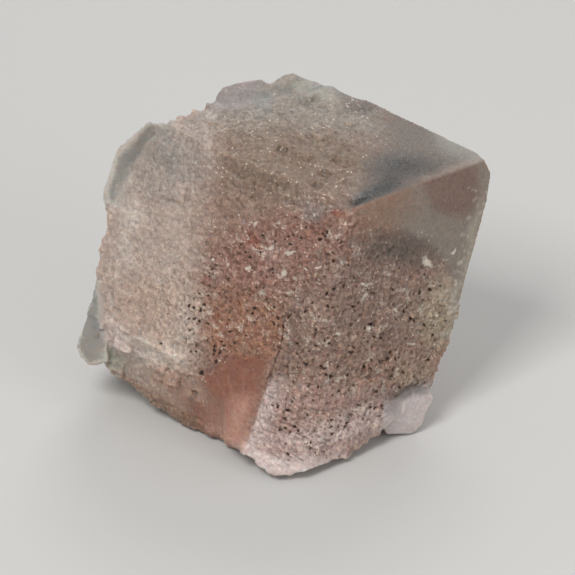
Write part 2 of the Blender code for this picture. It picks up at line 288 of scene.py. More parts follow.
# %% [markdown]
# ## Growth relief
#
# A fluorite crystal grows in little blocks that all line up with its cube edges. Cell noise gives every block
# of space its own number, so moving the skin by that number raises it in steps. The noise is read in
# coordinates that run along the cube edges, which lines the blocks up. Acid has since etched the rough faces into
# small hollows with thin pale ridges between them. Voronoi noise gives the distances to the two nearest cell
# centres. Where they are nearly the same there is a ridge, and where they differ most there is a hollow.

# %% Raise blocks along the cube edges and sink hollows
CUBE_EDGES = np.array(((0.604, 0.196, -0.772), (-0.769, 0.395, -0.501), (-0.207, -0.897, -0.390)))
# Sizes of the blocks and hollows, and how far they rise or sink, all in mm.
BLOCK, SMALL_BLOCK, BACK_BLOCK, HOLLOW = 0.85, 0.42, 2.1, 0.5
BLOCK_STEP, SMALL_STEP, BACK_STEP, HOLLOW_DEPTH = 0.05, 0.03, 0.11, 0.12


def relief(place_on_front, amount, hollowed, back):
    """Height of each point above the plain solid in mm, and how much of a ridge it is."""
    along_edges = place_on_front @ CUBE_EDGES.T
    heights, ridges = np.empty(len(along_edges)), np.empty(len(along_edges))
    for index, place in enumerate(along_edges):
        here = Vector(place)
        bent = here + 0.3 * noise.noise_vector(here * 0.8)
        swell = 0.16 * noise.noise(here * 0.45)
        stepped = BLOCK_STEP * noise.cell(bent / BLOCK) + SMALL_STEP * noise.cell(bent / SMALL_BLOCK)
        near, second = noise.voronoi((here + 0.14 * noise.noise_vector(here * 3.1)) / HOLLOW)[0][:2]
        ridges[index] = 1.0 - min(1.0, (second - near) / 0.42)
        etched = 0.07 * noise.noise(here * 2.3) + 0.03 * noise.noise(here * 4.6)
        etched += hollowed[index] * HOLLOW_DEPTH * (ridges[index] - 0.55)
        broken = back[index] * (BACK_STEP * noise.cell(bent / BACK_BLOCK) + 0.1 * noise.noise(here * 1.1))
        heights[index] = amount[index] * (swell + stepped + etched) + broken
    return heights, ridges


ETCHED = [
    (-9.6, -0.6), (-6.8, 1.0), (-4.2, 3.2), (0.0, 5.4), (3.6, 5.4), (6.3, 2.4), (9.8, 0.6), (11.8, -2.0),
    (10.4, -7.4), (6.4, -10.8), (3.0, -12.6), (-0.8, -12.6), (-1.5, -9.0), (-1.0, -5.8), (-3.0, -5.4),
    (-6.0, -6.4), (-8.8, -5.6),
]
rough = np.where(facing > 0.5, 1.0, 0.75) * (1.0 - smooth)
hollowed = 0.35 + 0.65 * patch(front, ETCHED, 1.6)
heights, ridges = relief(place_on_front, rough, hollowed, (1.0 - facing) * (1.0 - corner_side))
print("relief from", round(heights.min(), 2), "to", round(heights.max(), 2), "mm")

# %% Pull the smooth faces back onto the solid and add the relief
FOOT_HEIGHT = 0.9 * MM

shaped = points.copy()
for index in np.flatnonzero(smooth > 0.02):
    nearest = solid_skin.find_nearest(Vector(points[index]))[0]
    shaped[index] += smooth[index] * (np.array(nearest) - points[index])
above_floor = fade(points[:, 2] / FOOT_HEIGHT)
shaped += normals * (heights * above_floor * MM)[:, None]
print("moved by up to", round(float(np.linalg.norm(shaped - points, axis=1).max() / MM), 2), "mm")

# %% [markdown]
# ## Worn places
#
# Beside the window the crystal folds over softly, its knobs on top are worn, and behind, the raised blocks are
# blunt. A height can't round a corner, but smoothing can: each chosen point moves towards the middle of its
# neighbours, and more rounds of it wear the place down further.

# %% Round the fold beside the window, the knobs on top and the blocks behind
set_points(cluster.data, shaped)
soft_skin = bmesh.new()
soft_skin.from_mesh(cluster.data)
soft_skin.verts.ensure_lookup_table()


def rounded(where, times):
    """Smooth the chosen points that many times, and say how many they are."""
    chosen = [soft_skin.verts[index] for index in np.flatnonzero(where)]
    for _ in range(times):
        bmesh.ops.smooth_vert(
            soft_skin, verts=chosen, factor=0.5, use_axis_x=True, use_axis_y=True, use_axis_z=True)
    return len(chosen)


by_window = rounded(spot(place_on_front[:, :2], (-4.65, -9.8), (0.9, 2.9), 0.0, 0.1) * facing > 0.5, 30)
on_top = rounded(patch(place_on_front[:, :2], KNOBS, 0.1) * (place_on_front[:, 2] > -12.0) > 0.5, 16)
behind = rounded((facing < 0.3) & (smooth < 0.3) & (points[:, 2] > FOOT_HEIGHT), 4)
soft_skin.to_mesh(cluster.data)
soft_skin.free()
shaped = points_of(cluster.data)
print(by_window, "points rounded by the window,", on_top, "on top,", behind, "behind")

# %% [markdown]
# ## Lips, seam and pits
#
# These marks are made one by one. A broken curved lip at the lower left stands proud with a groove under it, and
# beside it lies a ragged cream crust. The seam between the two crystals is a fine crack. About a thousand etch
# pits, each a dark pinprick, crowd the lower half. Every point keeps its distance to the nearest pit and to the
# seam, because the material can turn a distance into a crisp dot, where a painted yes or no would blur.

# %% Draw the lip and the seam
LIP = [(-13.1, -2.9), (-12.0, -3.7), (-10.9, -4.4), (-9.4, -5.0), (-7.7, -6.0)]
LIP_GROOVE = [(-13.0, -3.6), (-12.2, -4.3), (-11.2, -5.0), (-10.0, -5.5), (-8.8, -6.0)]
CREAM = [(-11.0, -4.5), (-8.9, -4.3), (-7.4, -5.6), (-7.8, -6.8), (-8.9, -7.4), (-10.0, -6.5), (-11.6, -5.3)]
CREAM_TOP = [(-10.2, -4.6), (-8.4, -4.8), (-8.2, -6.2), (-9.6, -6.0)]
SEAM = [(1.1, 0.9), (0.0, -1.5), (-0.4, -3.4), (-0.7, -5.2), (-1.5, -7.4), (-2.3, -9.9), (-3.2, -12.4)]


def carved(place_on_front):
    """Lip, crust, groove and seam, as a height in mm."""
    front = pushed_about(place_on_front[:, :2], 0.12, 0.8, 9.0)
    ragged = pushed_about(place_on_front[:, :2], 0.4, 0.7, 12.0)
    height = 0.28 * streak(front, LIP, 0.1, 0.28) - 0.3 * streak(front, LIP_GROOVE, 0.05, 0.22)
    height += 0.34 * patch(ragged, CREAM, 0.3) + 0.22 * patch(ragged, CREAM_TOP, 0.25)
    seam_depth = 0.14 * streak(front, SEAM, 0.02, 0.1)
    height -= seam_depth * fade((1.5 - front[:, 1]) / 1.5) * fade((front[:, 1] + 9.0) / 4.0)
    return height


front_share = facing * above_floor
carving = carved(place_on_front) * front_share
shaped += OUT[None, :] * (carving * MM)[:, None]
print("carved from", round(float(carving.min()), 2), "to", round(float(carving.max()), 2), "mm")

# %% Scatter the pits
PITTED = [
    (-7.6, -1.0), (-5.8, 1.0), (-3.8, 2.7), (0.0, 4.4), (3.5, 3.2), (6.3, 1.2), (9.8, 0.6), (11.4, -3.0),
    (9.5, -8.0), (6.4, -10.6), (3.0, -12.6), (-0.8, -12.6), (-1.5, -9.0), (-1.0, -5.8), (-3.0, -5.6),
    (-5.6, -6.2), (-7.2, -5.0),
]
TRIES = 9000
PIT_RADIUS = (0.01, 0.105)
PIT_GAP = 0.22
# Across, up and radius in mm.
BIG_PITS = [(-9.0, -4.7, 0.12), (-6.1, -6.7, 0.14), (-7.2, -4.6, 0.09), (-6.9, -5.9, 0.07), (-6.3, -3.2, 0.09)]

dice = random.Random(31)
tries = np.array([(dice.uniform(-13, 12), dice.uniform(-13, 13)) for _ in range(TRIES)])
crowding = 0.06 + 0.94 * patch(tries, PITTED, 0.9)
crowding *= 1.0 - np.maximum(patch(tries, SMOOTH_CORNER, 0.3), 0.97 * patch(tries, WINDOW, 0.3))
for clean in (UPPER_SHARD, LOWER_SHARD, CORNER_CRYSTAL, KNOBS):
    crowding *= 1.0 - patch(tries, clean, 0.3)
pits = [(Vector((across, up, 0.0)), radius) for across, up, radius in BIG_PITS]
for (across, up), chance in zip(tries, crowding):
    here = Vector((across, up, 0.0))
    clump = fade(0.62 + 1.3 * noise.noise(here * 0.9))
    if dice.random() < 0.8 * chance * clump and all((here - pit).length > PIT_GAP for pit, _ in pits):
        size = chance * dice.random() ** 2.0
        pits.append((here, PIT_RADIUS[0] + (PIT_RADIUS[1] - PIT_RADIUS[0]) * size))
print(len(pits), "pits")

# %% Find how near each point is to a pit
PIT_DEPTH = 0.13

pit_tree = kdtree.KDTree(len(pits))
for number, (here, radius) in enumerate(pits):
    pit_tree.insert(here, number)
pit_tree.balance()


def gap_to_pits(place_on_front):
    """Distance in mm to the nearest pit's rim, less than 0 inside it."""
    bent = pushed_about(place_on_front[:, :2], 0.13, 0.22, 5.0)
    gaps = np.empty(len(bent))
    for index, (across, up) in enumerate(bent):
        _, number, distance = pit_tree.find((across, up, 0.0))
        gaps[index] = distance - pits[number][1]
    return gaps


pit_depth = PIT_DEPTH * fade(-gap_to_pits(place_on_front) / 0.12 + 0.45)
shaped -= OUT[None, :] * (pit_depth * front_share * MM)[:, None]
print("deepest pit", round(float(pit_depth.max()), 2), "mm")

# %% [markdown]
# ## Paint
#
# The colours are named once and laid on softly, from broad to small, as a painter would: milky beige on the
# left flank, rose brown in the middle, smoke grey as painted shade above the ridge, amber below it, bone white
# where the crystal is bruised. The result is one colour for each point. Fine speckle is left to the material.

# %% Name the colours
COLOURS = {
    "milky beige": (167, 150, 139), "soft pink": (166, 144, 130), "bone white": (186, 176, 166),
    "grey glass": (128, 126, 121), "rose brown": (134, 109, 96), "olive beige": (119, 101, 87),
    "top beige": (132, 122, 112), "smooth grey": (110, 101, 94), "pale corner": (134, 131, 124),
    "smoke": (76, 73, 71), "deep smoke": (58, 57, 56), "amber": (128, 98, 80), "red brown": (111, 90, 80),
    "sage": (122, 112, 102), "dark rose": (95, 82, 74), "brown": (125, 102, 91), "warm rose": (131, 96, 84),
    "copper": (133, 94, 75), "dusk": (128, 99, 86), "window": (131, 88, 72), "pale window": (166, 127, 112),
    "shell pink": (198, 182, 177), "hatch pink": (152, 125, 115), "lilac white": (180, 170, 167),
    "edge tan": (147, 140, 127), "grey pink": (134, 126, 123), "cream": (184, 169, 156), "brick": (134, 80, 64),
    "green glass": (166, 161, 146), "clear tip": (224, 219, 210), "tea": (150, 117, 93),
    "sand": (144, 128, 109), "blush": (165, 135, 119), "pale back": (203, 184, 171),
    "back blush": (180, 152, 137),
}


def linear(colour):
    """The colour as the amount of light it throws back."""
    share = np.array(colour) / 255.0
    return np.where(share <= 0.04045, share / 12.92, ((share + 0.055) / 1.055) ** 2.4)


print(len(COLOURS), "colours")

# %% Ways to lay a colour
# Noise of two sizes pushes the borders of the paint about.
front = pushed_about(place_on_front[:, :2], 0.4, 1.5, 1.0)
front = pushed_about(front, 0.15, 0.4, 2.0)
seen = facing_front(normals + 0.25 * OUT)
tint = np.tile(linear(COLOURS["rose brown"]), (len(points), 1))


def lay(colour, where, strength=1.0):
    """Lay a named colour over what is there."""
    share = (strength * where)[:, None]
    tint[:] = tint * (1.0 - share) + linear(COLOURS[colour]) * share


def dab(colour, centre, radii, turn, soft, strength=1.0):
    """Lay a colour in a soft, turned ellipse."""
    lay(colour, spot(front, centre, radii, turn, soft), strength)


def draw(colour, path, width, soft, strength=1.0):
    """Lay a colour along a bent line."""
    lay(colour, streak(front, path, width, soft), strength)


def fill(colour, corners, soft, strength=1.0):
    """Lay a colour in a straight-sided patch."""
    lay(colour, patch(front, corners, soft), strength)


def tell_average():
    print("average colour so far:", tint.mean(0).round(3))


tell_average()

# %% Lay the broad colours
dab("olive beige", (0.0, 8.2), (5.5, 3.2), 0, 0.5)
fill("top beige", [(-9.0, 10.5), (-5.0, 10.2), (0.0, 10.4), (3.4, 9.8), (6.6, 9.2), (7.0, 15.0), (-6.0, 15.0)], 1.0)
dab("olive beige", (4.6, 8.0), (1.3, 1.6), 0, 0.5)
dab("warm rose", (0.5, 1.5), (6.5, 2.6), 8, 0.5)
dab("brown", (6.5, -1.2), (5.2, 3.4), -10, 0.5)
dab("dark rose", (8.1, 2.1), (3.1, 1.25), -4, 0.6)
dab("sand", (10.6, -2.6), (1.3, 2.6), -12, 0.6)
dab("copper", (-3.4, -3.6), (3.0, 2.6), 0, 0.6)
fill("hatch pink", [(-1.0, -7.5), (2.0, -7.6), (5.6, -8.4), (6.6, -11.0), (2.0, -15.0), (-4.0, -14.0)], 1.0)
flank = patch(front, [(-5.8, 13.5), (-6.1, 5.3), (-6.8, -1.7), (-7.0, -7.8), (-18.0, -8.0), (-18.0, 13.5)], 2.0)
lay("milky beige", flank)
dab("soft pink", (-9.6, -2.0), (2.8, 1.9), 0, 0.6, 0.9)
tell_average()

# %% [markdown]
# ### The smooth corner
#
# The two smooth faces let the eye a little way in. Smoke hangs above the ridge as painted shade: a dark grey
# where the clear face only shows darkness through it. Amber and a red-brown cloud lie below it. The ridge is a
# crisp border between them, so each colour is multiplied by a number that changes from 0 to 1 right on the
# ridge, and its places are pushed about only a quarter as far. Along the ridge lie a thin painted highlight above
# and a thin painted shadow below.

# %% Lay the smooth corner
RIDGE = [(4.2, 4.6), (13.2, 7.9)]
corner_front = 0.75 * place_on_front[:, :2] + 0.25 * front
ridge_way = np.array(RIDGE[1]) - np.array(RIDGE[0])
over_ridge = (place_on_front[:, :2] - RIDGE[0]) @ (-ridge_way[1], ridge_way[0]) / np.linalg.norm(ridge_way)
above_ridge = fade(0.5 + over_ridge / 0.2)
ABOVE = [(4.0, 4.2), (6.4, 9.4), (6.6, 14.0), (8.0, 15.0), (15.0, 9.5), (13.6, 7.5)]
BELOW = [(3.6, 4.9), (8.5, 6.9), (13.2, 8.6), (14.8, 7.0), (12.0, -2.2), (11.0, 0.8), (9.6, 2.5), (7.6, 3.2)]
lay("smooth grey", patch(corner_front, ABOVE, 1.5) * above_ridge)
TIP = [(10.8, 8.7), (13.0, 7.9), (15.0, 8.0), (13.0, 10.0), (9.0, 12.0)]
lay("pale corner", patch(corner_front, TIP, 0.7) * above_ridge)
# Painted shade: the darkness seen through the clear face above the ridge, laid as smoke grey.
lay("smoke", spot(corner_front, (7.7, 7.7), (2.0, 0.8), 3, 0.75) * above_ridge, 0.95)
lay("smoke", streak(corner_front, [(4.7, 5.1), (7.2, 6.5)], 1.1, 0.4) * above_ridge, 0.95)
lay("deep smoke", streak(corner_front, [(4.9, 5.15), (6.8, 6.1)], 0.5, 0.5) * above_ridge, 0.8)
# Painted highlight: a thin light band just above the ridge, in milky beige.
lay("milky beige", streak(corner_front, [(9.4, 6.8), (13.2, 8.2)], 0.25, 0.35) * above_ridge, 0.4)
below_ridge = 1.0 - above_ridge
lay("sage", patch(corner_front, BELOW, 0.5) * below_ridge)
RED_CLOUD = [(8.9, 7.0), (13.0, 8.4), (13.5, 5.6), (12.2, 4.0), (10.0, 4.6)]
lay("red brown", patch(corner_front, RED_CLOUD, 0.6) * below_ridge)
lay("amber", patch(corner_front, [(3.8, 4.7), (8.0, 6.5), (8.4, 5.2), (7.0, 3.4), (5.4, 3.4)], 1.7) * below_ridge)
# Painted shadow: a thin copper line just under the ridge.
shade_under_ridge = streak(place_on_front[:, :2] + (-0.05, 0.14), RIDGE, 0.1, 0.12) * below_ridge
lay("copper", shade_under_ridge * fade((9.0 - front[:, 0]) / 4.0), 0.6)
from_corner = np.linalg.norm(corner_front - RIDGE[0], axis=1)
arcs = fade(np.cos(from_corner * 7.5) * 2.0 - 0.6)
arcs = arcs * fade((from_corner - 0.8) / 0.6) * fade((4.2 - from_corner) / 1.6)
lay("top beige", arcs * below_ridge * patch(corner_front, BELOW, 0.5), 0.22)
RIGHT_EDGE = [(13.4, 7.7), (13.9, 6.9), (13.2, 3.8), (12.4, 0.2), (11.6, -2.2), (11.2, -4.0)]
lay("edge tan", streak(front, RIGHT_EDGE, 0.6, 0.4) * fade((7.5 - front[:, 1]) / 4.0), 0.9)
tell_average()

# %% [markdown]
# ### The window
#
# At the lower left a patch of the rough skin is missing, and through it the rose inside is seen. Cleavage planes
# in there catch the light as faint rays that all run from one place near the foot, so each ray is a streak from
# that place.

# %% Lay the window
RAYS_FROM = (-3.4, -11.2)
dab("dusk", (-4.8, -6.7), (1.5, 0.9), 15, 0.4)
fill("window", [(-6.3, -7.2), (-3.9, -5.6), (-1.3, -4.9), (-2.1, -8.6), (-3.2, -12.2), (-6.2, -10.4)], 0.7)
dab("amber", (-3.0, -5.2), (1.2, 0.4), -10, 0.5, 0.7)
fill("pale window", [(-3.9, -8.6), (-2.6, -8.4), (-2.9, -12.4), (-4.6, -11.8)], 0.8)
dab("pale window", (-5.2, -10.4), (1.5, 0.6), -38, 0.6, 0.85)
for end in ((-6.3, -8.1), (-5.2, -7.0), (-4.3, -7.0), (-5.9, -9.6), (-3.2, -6.6)):
    ray = streak(corner_front, [RAYS_FROM, end], 0.1, 0.14)
    lay("pale window", ray * fade(np.linalg.norm(corner_front - RAYS_FROM, axis=1) / 2.0), 0.32)
tell_average()

# %% [markdown]
# ### Broken edge, clear tips and knobs
#
# Where the stone broke at the lower left, white lips, cream crust, a greenish glassy chip and tea-coloured glass
# lie side by side. The clear tips get a nearly white tint, because light takes up the tint on its way through.

# %% Lay the broken lower left
fill("cream", CREAM, 0.5, 0.9)
draw("bone white", [(-11.2, -5.1), (-9.8, -5.4), (-8.2, -6.5)], 0.25, 0.25, 0.7)
draw("bone white", LIP, 0.16, 0.16, 0.85)
draw("bone white", [(-12.7, -0.9), (-12.5, -1.9), (-12.5, -3.0)], 0.12, 0.15, 0.6)
dab("shell pink", (-12.4, -4.1), (1.2, 0.8), -50, 0.6, 0.5)
draw("shell pink", [(-13.3, -3.8), (-12.6, -4.8), (-11.2, -5.5), (-10.4, -5.6)], 0.3, 0.35, 0.75)
draw("cream", [(-9.2, -6.6), (-8.2, -6.8), (-7.2, -7.6)], 0.35, 0.4, 0.85)
dab("soft pink", (-9.4, -4.2), (0.9, 0.4), 0, 0.6, 0.5)
dab("cream", (-7.2, -4.1), (0.6, 0.6), 0, 0.7, 0.5)
# Painted shade in the groove under the lip, in rose brown.
draw("rose brown", LIP_GROOVE, 0.12, 0.18, 0.3)
dab("green glass", (-12.7, -5.8), (1.3, 0.75), -35, 0.5)
dab("blush", (-7.8, -8.0), (2.4, 1.4), -32, 0.5, 0.9)
dab("window", (-6.7, -9.3), (1.4, 0.6), -28, 0.6, 0.75)
dab("pale window", (-4.9, -10.9), (0.8, 0.45), -30, 0.6, 0.9)
dab("pale window", (-4.7, -9.7), (0.7, 0.8), 0, 0.8, 0.35)
dab("milky beige", (-7.4, -3.1), (0.7, 1.5), 0, 0.7, 0.7)
dab("dark rose", (-6.9, -8.5), (0.45, 0.25), 20, 0.5, 0.6)
draw("milky beige", [(-10.6, -7.2), (-8.6, -8.3), (-7.4, -9.3)], 0.5, 0.35, 0.4)
draw("tea", [(-11.4, -7.5), (-8.8, -9.0), (-6.6, -10.4), (-4.8, -11.5)], 0.5, 0.45, 0.55)
tell_average()

# %% Lay the clear tips, the upper left and the knobs on top
in_shards = np.maximum(patch(front, UPPER_SHARD, 0.7), patch(front, LOWER_SHARD, 0.4))
lay("clear tip", in_shards)
tip_rims = np.maximum(
    streak(corner_front, [(-12.5, 4.2), (-12.9, 5.9), (-12.2, 8.4), (-9.9, 10.7)], 0.2, 0.36),
    streak(corner_front, [(-14.7, -3.4), (-15.1, -5.0), (-14.3, -6.4), (-13.0, -6.1)], 0.2, 0.25),
)
dab("grey glass", (-8.7, 8.2), (2.8, 2.5), 0, 0.7, 0.5)
dab("milky beige", (-9.7, 8.0), (1.0, 1.2), 0, 0.35, 0.3)
dab("grey glass", (-8.5, 8.3), (0.8, 0.8), 0, 0.8, 0.5)
draw("bone white", [(-10.9, 8.2), (-10.6, 9.0), (-9.9, 9.5)], 0.15, 0.2, 0.6)
draw("bone white", [(-6.2, 11.3), (-5.9, 9.6), (-5.7, 8.0)], 0.35, 0.3, 0.35)
dab("bone white", (-5.6, 11.2), (0.4, 0.3), 0, 0.5, 0.7)
dab("bone white", (-11.1, 4.4), (0.8, 0.9), 0, 0.6, 0.6)
dab("bone white", (-11.5, 2.2), (0.6, 1.3), 10, 0.6, 0.5)
dab("pale corner", (1.3, 13.2), (2.2, 1.0), -10, 0.5, 0.9)
dab("edge tan", (0.4, 13.6), (1.2, 0.4), -10, 0.5, 0.6)
dab("edge tan", (2.9, 12.3), (1.3, 0.5), -25, 0.5, 0.6)
fill("grey pink", [(-5.8, 11.6), (-5.6, 14.0), (-1.0, 14.6), (-0.8, 12.8), (-2.6, 11.8)], 0.6, 0.9)
dab("edge tan", (-1.5, 13.0), (0.7, 0.5), 0, 0.6, 0.7)
dab("smooth grey", (4.9, 12.1), (1.3, 0.8), -25, 0.6, 0.95)
dab("grey glass", (-1.9, 12.4), (0.9, 0.9), 0, 0.6, 0.8)
dab("smooth grey", (-6.5, 10.8), (0.8, 0.5), 20, 0.6, 0.4)
tell_average()

# %% [markdown]
# ### Seam, foot and small crystal
#
# The right crystal stands proud along the seam. Below the middle its edge there is a painted highlight in shell
# pink, and above that a red-brown streak paints shade over the same edge. The foot is paler, and the small crystal
# at its lower right is a lilac white. The painted highlight starts sharply at the seam and fades to the right, so
# it is made from how far to the right of the seam a place lies.

# %% Lay the seam's painted highlight and shade, the pale foot and the small crystal
seam_across, seam_up = np.array(SEAM[::-1]).T
beside_seam = corner_front[:, 0] - np.interp(corner_front[:, 1], seam_up, seam_across)
# Painted shade: a red-brown streak darkens the upper part of the proud edge along the seam.
draw("red brown", [(0.5, -2.2), (0.1, -4.2), (-0.3, -6.6)], 0.6, 0.5, 0.7)
dab("red brown", (1.6, -4.6), (2.0, 1.6), 0, 0.6, 0.35)
# Painted highlight: the lit edge of the proud crystal, in shell pink.
lit_seam_edge = fade(0.5 + beside_seam / 0.16) * fade((2.0 - beside_seam) / 1.8) * fade((-6.4 - front[:, 1]) / 1.6)
lay("shell pink", lit_seam_edge, 0.65)
draw("shell pink", [(-2.6, -12.6), (0.0, -13.6), (3.4, -13.5)], 1.9, 0.8)
dab("hatch pink", (-1.2, -12.0), (1.2, 0.5), -10, 0.5, 0.6)
dab("shell pink", (1.2, -11.3), (2.6, 0.8), 8, 0.7, 0.4)
dab("hatch pink", (6.0, -9.0), (2.2, 1.4), 15, 0.6, 0.6)
dab("shell pink", (4.9, -10.4), (2.4, 1.2), 15, 0.7, 0.4)
dab("brown", (5.9, -11.0), (1.2, 0.4), 25, 0.5, 0.3)
dab("brown", (8.6, -6.9), (1.5, 0.6), 10, 0.5, 0.25)
dab("sand", (8.9, -7.0), (1.3, 0.8), 10, 0.6, 0.5)
fill("lilac white", CORNER_CRYSTAL, 0.35)
dab("smoke", (8.3, -8.1), (1.6, 0.55), 12, 0.6, 0.75)
dab("smoke", (7.2, -9.2), (0.4, 0.6), 0, 0.7, 0.4)
dab("dark rose", (2.7, 4.5), (0.9, 0.55), 10, 0.6, 0.4)
dab("grey pink", (1.5, 4.3), (0.9, 0.7), 0, 0.6, 0.5)
dab("hatch pink", (-1.1, 1.4), (1.2, 0.9), 0, 0.7, 0.45)
dab("olive beige", (3.7, 6.6), (1.2, 1.0), 0, 0.6, 0.7)
dab("sand", (8.5, -2.5), (1.1, 1.2), 0, 0.7, 0.4)
RUSTY = (((-2.6, 2.5), (0.42, 0.5), 20), ((-5.8, -0.4), (0.3, 0.34), 0), ((3.2, 4.3), (0.4, 0.22), 0))
for centre, radii, turn in RUSTY:
    lay("brick", spot(corner_front, centre, radii, turn, 0.45), 0.65)
tell_average()

# %% [markdown]
# ### Flecks and glints
#
# A white fleck is a bruise, where many tiny cracks throw all the light back. Painted, it would be a blur. So a
# soft number marks the places, and the material breaks that number up into crisp crumbs. The little glints by the
# right edge are painted highlights, dabbed on in bone white at random from a fixed seed, so that they fall the
# same way each time.

# %% Mark the flecks and dab the glints
GLINTS = 70
# Centre, radii in mm and turn in degrees.
FLECKS = (
    ((-2.2, 1.75), (0.6, 0.15), -32), ((-3.1, 2.7), (0.45, 0.1), -40), ((-1.5, 2.0), (0.2, 0.3), -20),
    ((-4.2, 0.9), (0.12, 0.35), 0), ((-5.2, 1.1), (0.2, 0.16), 10), ((-2.3, 3.5), (0.4, 0.15), 20),
    ((-0.5, 0.2), (0.25, 0.2), 0), ((-2.9, 0.6), (0.3, 0.12), 15), ((0.1, 1.3), (0.55, 0.18), -8),
    ((1.8, 4.2), (0.14, 0.35), 0), ((0.7, 3.4), (0.12, 0.25), 0), ((2.5, 5.8), (0.25, 0.12), 0),
    ((3.8, 3.8), (0.2, 0.16), 20), ((2.1, 0.6), (0.35, 0.14), 10), ((3.7, 0.9), (0.35, 0.16), -20),
    ((5.3, -0.6), (0.4, 0.16), -15), ((5.5, -3.6), (0.5, 0.16), -6), ((6.6, -3.5), (0.35, 0.12), 30),
    ((7.2, -2.6), (0.3, 0.14), 0), ((8.4, -4.6), (0.5, 0.13), -12), ((9.0, -2.2), (0.4, 0.14), 25),
    ((10.3, -2.9), (0.35, 0.22), -30), ((9.8, 0.9), (0.4, 0.22), -25), ((9.4, -0.1), (0.25, 0.16), 0),
    ((11.3, 1.6), (0.14, 0.35), -15), ((5.5, -5.9), (0.5, 0.12), 10), ((4.7, -9.4), (0.5, 0.2), -10),
    ((3.1, -4.0), (0.3, 0.12), 20), ((1.5, -2.6), (0.25, 0.1), -30), ((-0.5, -1.9), (0.2, 0.12), 0),
    ((-12.5, -3.3), (0.7, 0.1), -50), ((-11.5, -4.2), (0.65, 0.1), -38), ((-10.5, -5.0), (0.4, 0.12), -20),
    ((-11.7, -4.9), (0.5, 0.08), -40), ((-9.7, -5.7), (0.4, 0.1), -30), ((-8.4, -6.5), (0.35, 0.12), -25),
)
flecked = np.zeros(len(points))
for centre, radii, turn in FLECKS:
    flecked = np.maximum(flecked, spot(front, centre, radii, turn, 0.9))
sparkle = random.Random(5)
# Painted highlights: small glints in bone white.
for _ in range(GLINTS):
    along = sparkle.random()
    if sparkle.random() < 0.6:
        centre = (11.3 + 2.0 * along + sparkle.gauss(0.0, 0.28), -2.4 + 8.6 * along)
    else:
        centre = (sparkle.gauss(11.0, 0.5), sparkle.gauss(-1.2, 0.6))
    dab("bone white", centre, (sparkle.uniform(0.06, 0.16), 0.07), sparkle.uniform(0, 180), 0.7, 0.5)
print(len(FLECKS), "flecked places and", GLINTS, "glints")

# %% [markdown]
# ### Sides and back
#
# The hidden sides are plainer: a pale pink with blush and shell pink clouds from slow noise. These colours are
# partly the stone's own pink and partly painted light, kept paler than the front to make up for the dim lamp
# light that reaches the sides. The front's paint gives way to them where the skin turns away from the front.

# %% Paint the sides and the back
side_noise = np.array([noise.noise(Vector(place) * 0.35) for place in place_on_front])
# Partly painted light: the pale back colours brighten sides that get little lamp light.
side_tint = np.tile(linear(COLOURS["pale back"]), (len(points), 1))
for colour, level in (("back blush", 0.08), ("shell pink", -0.15)):
    share = fade(0.5 + (side_noise - level) * (4.0 if level > 0 else -4.0))[:, None]
    side_tint = side_tint * (1.0 - share) + linear(COLOURS[colour]) * share
tint = tint * seen[:, None] + side_tint * (1.0 - seen[:, None])
print("front and sides meet over", int(((seen > 0.1) & (seen < 0.9)).sum()), "points")

# %% [markdown]
# ## Numbers for the material
#
# The material needs to know more than colour: how grainy, hatched, lacy, silky, flecked or clear a place is, and
# how near a pit or the seam is. Each becomes a named attribute of the mesh, one number for each point, and
# attributes stay with the mesh when it is thinned.


# %% Write the attributes
def write_number(name, values):
    """Keep one number for each point under that name."""
    made = cluster.data.attributes.new(name, "FLOAT", "POINT")
    made.data.foreach_set("value", values.astype(np.float32))


clear = 0.3 * spot(front, (-12.7, -5.8), (1.3, 0.7), -35, 0.6)
clear = np.maximum(clear, 0.22 * spot(front, (7.6, 7.0), (3.2, 0.9), 14, 0.5))
GLASSY_EDGE = [(-11.6, -7.6), (-8.8, -9.2), (-6.6, -10.6), (-4.8, -11.7)]
clear = np.maximum(clear, 0.25 * streak(front, GLASSY_EDGE, 0.5, 0.4))
clear = np.maximum(clear * facing, 0.7 * in_shards * (1.0 - 0.5 * tip_rims))
write_number("grain", (1.0 - 0.5 * smooth) * (1.0 - 0.6 * in_shards) * (1.0 - 0.25 * flank))
HATCHED = [(-1.6, -8.2), (1.5, -8.6), (4.6, -9.6), (4.6, -12.6), (-1.0, -14.0), (-3.2, -12.6)]
write_number("hatched", patch(front, HATCHED, 0.9) * facing)
write_number("lacy", (1.0 - smooth) * (hollowed * facing + 0.6 * (1.0 - facing)))
write_number("ridge", ridges)
write_number("silk", patch(front, SMOOTH_CORNER, 0.8) * facing * (0.35 + 0.65 * above_ridge))
write_number("flecked", flecked)
write_number("clear", clear)
write_number("pit_gap", np.where(facing > 0.3, gap_to_pits(place_on_front), 1.0))
seam_front = pushed_about(place_on_front[:, :2], 0.12, 0.8, 9.0)
seam_side = np.sign(seam_front[:, 0] - np.interp(seam_front[:, 1], seam_up, seam_across))
write_number("seam_gap", seam_side * gap_to_path(seam_front, SEAM))
open_seam = fade((place_on_front[:, 1] + 8.2) / 2.2) * fade((-1.9 - place_on_front[:, 1]) / 0.8) * (facing > 0.3)
write_number("seam_end", 0.3 * (1.0 - open_seam))
tint_layer = cluster.data.attributes.new("tint", "FLOAT_COLOR", "POINT")
tint_layer.data.foreach_set("color", np.c_[tint, np.ones(len(tint))].astype(np.float32).ravel())
print("attributes:", [layer.name for layer in cluster.data.attributes if not layer.is_internal])

# %% [markdown]
# ## Keep the box and thin the hidden side
#
# So that the relief doesn't make the object bigger than its solid, every point is held inside the solid's box,
# which also keeps the standing patch flat. The back, seen less, can do with fewer triangles: Decimate with a vertex
# group thins it and leaves the front alone.

# %% Hold the points in the box
low, high = np.array(solid_box[0]), np.array(solid_box[1])
shaped = np.clip(shaped, low, high)
set_points(cluster.data, shaped)

# %% Thin the back
SKIN_LIMIT = 190000
LEVELS = 4

